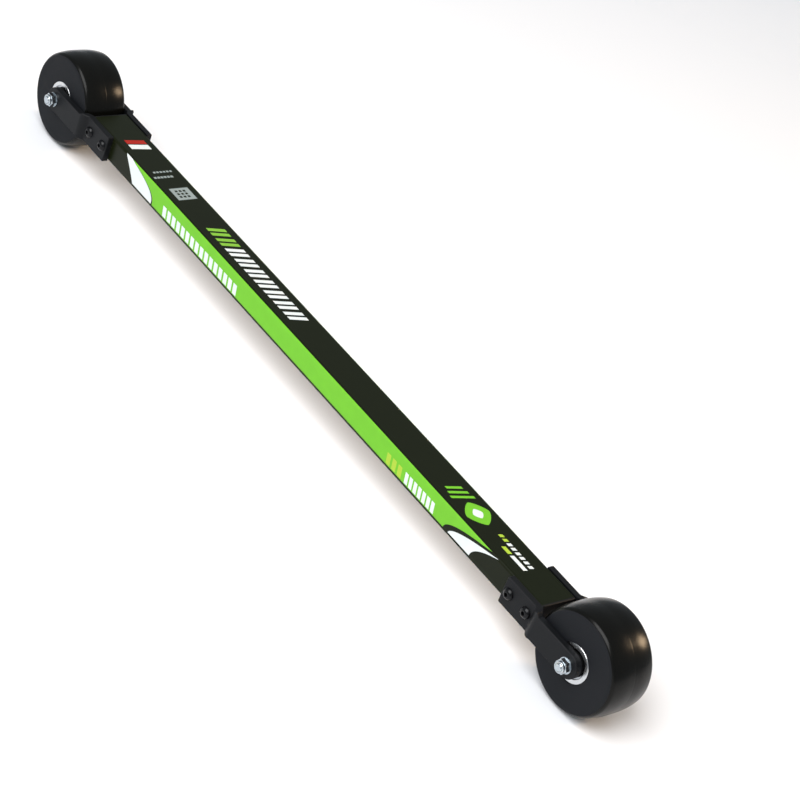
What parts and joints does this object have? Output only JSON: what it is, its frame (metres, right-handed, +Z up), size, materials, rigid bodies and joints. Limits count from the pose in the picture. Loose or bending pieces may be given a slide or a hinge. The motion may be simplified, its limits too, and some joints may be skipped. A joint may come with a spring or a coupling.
{
  "type": "roller ski",
  "caption": "Classic roller ski: a printed box-section shaft with a wide rubber wheel held in bolted fork plates at each end.",
  "frame": {"origin": "on the ground under the middle of the shaft, midway between the two wheels", "axes": "+X towards the front wheel, +Y to the skier's left (bolt heads), +Z up"},
  "size_m": [0.78, 0.0648, 0.08],
  "materials": {
    "shaft_film": "aluminium box section under a glossy black and green printed film",
    "moulded_plastic": "moulded, fine grain",
    "plain_aluminium": "turned or milled",
    "black_steel": "satin black powder coat",
    "black_screw": "black oxide, oiled",
    "bearing_steel": "ground",
    "nylon": "moulded",
    "seal_rubber": "moulded",
    "zinc_steel": "bright zinc plated",
    "tyre_rubber": "moulded solid rubber, satin",
    "hub_aluminium": "turned bright"
  },
  "bodies": {
    "frame": {"shaft": "shaft_film", "front_end_cap": "moulded_plastic", "front_fork_block": "plain_aluminium", "front_left_fork_plate": "black_steel", "front_right_fork_plate": "black_steel", "front_fork_screws": "black_screw", "front_bearing_inner_rings": "bearing_steel", "front_bearing_spacer": "bearing_steel", "front_axle_bushes": "plain_aluminium", "front_axle_washers": "zinc_steel", "front_axle_bolt": "zinc_steel", "front_axle_nut": "zinc_steel", "front_nut_ring": "nylon", "rear_end_cap": "moulded_plastic", "rear_fork_block": "plain_aluminium", "rear_left_fork_plate": "black_steel", "rear_right_fork_plate": "black_steel", "rear_fork_screws": "black_screw", "rear_bearing_inner_rings": "bearing_steel", "rear_bearing_spacer": "bearing_steel", "rear_axle_bushes": "plain_aluminium", "rear_axle_washers": "zinc_steel", "rear_axle_bolt": "zinc_steel", "rear_axle_nut": "zinc_steel", "rear_nut_ring": "nylon"},
    "front_wheel": {"front_tyre": "tyre_rubber", "front_hub": "hub_aluminium", "front_bearing_outer_rings": "bearing_steel", "front_bearing_balls": "bearing_steel", "front_bearing_cages": "nylon", "front_bearing_seals": "seal_rubber"},
    "rear_wheel": {"rear_tyre": "tyre_rubber", "rear_hub": "hub_aluminium", "rear_bearing_outer_rings": "bearing_steel", "rear_bearing_balls": "bearing_steel", "rear_bearing_cages": "nylon", "rear_bearing_seals": "seal_rubber", "rear_clutch_shell": "bearing_steel", "rear_clutch_rollers": "bearing_steel", "rear_clutch_cage": "nylon"}
  },
  "joints": [
    {"name": "front_wheel_spin", "type": "hinge", "parent": "frame", "child": "front_wheel", "pos_m": [0.35, 0, 0.04], "axis": [0, 1, 0], "continuous": true},
    {"name": "rear_wheel_spin", "type": "hinge", "parent": "frame", "child": "rear_wheel", "pos_m": [-0.35, 0, 0.04], "axis": [0, 1, 0], "continuous": true}
  ]
}
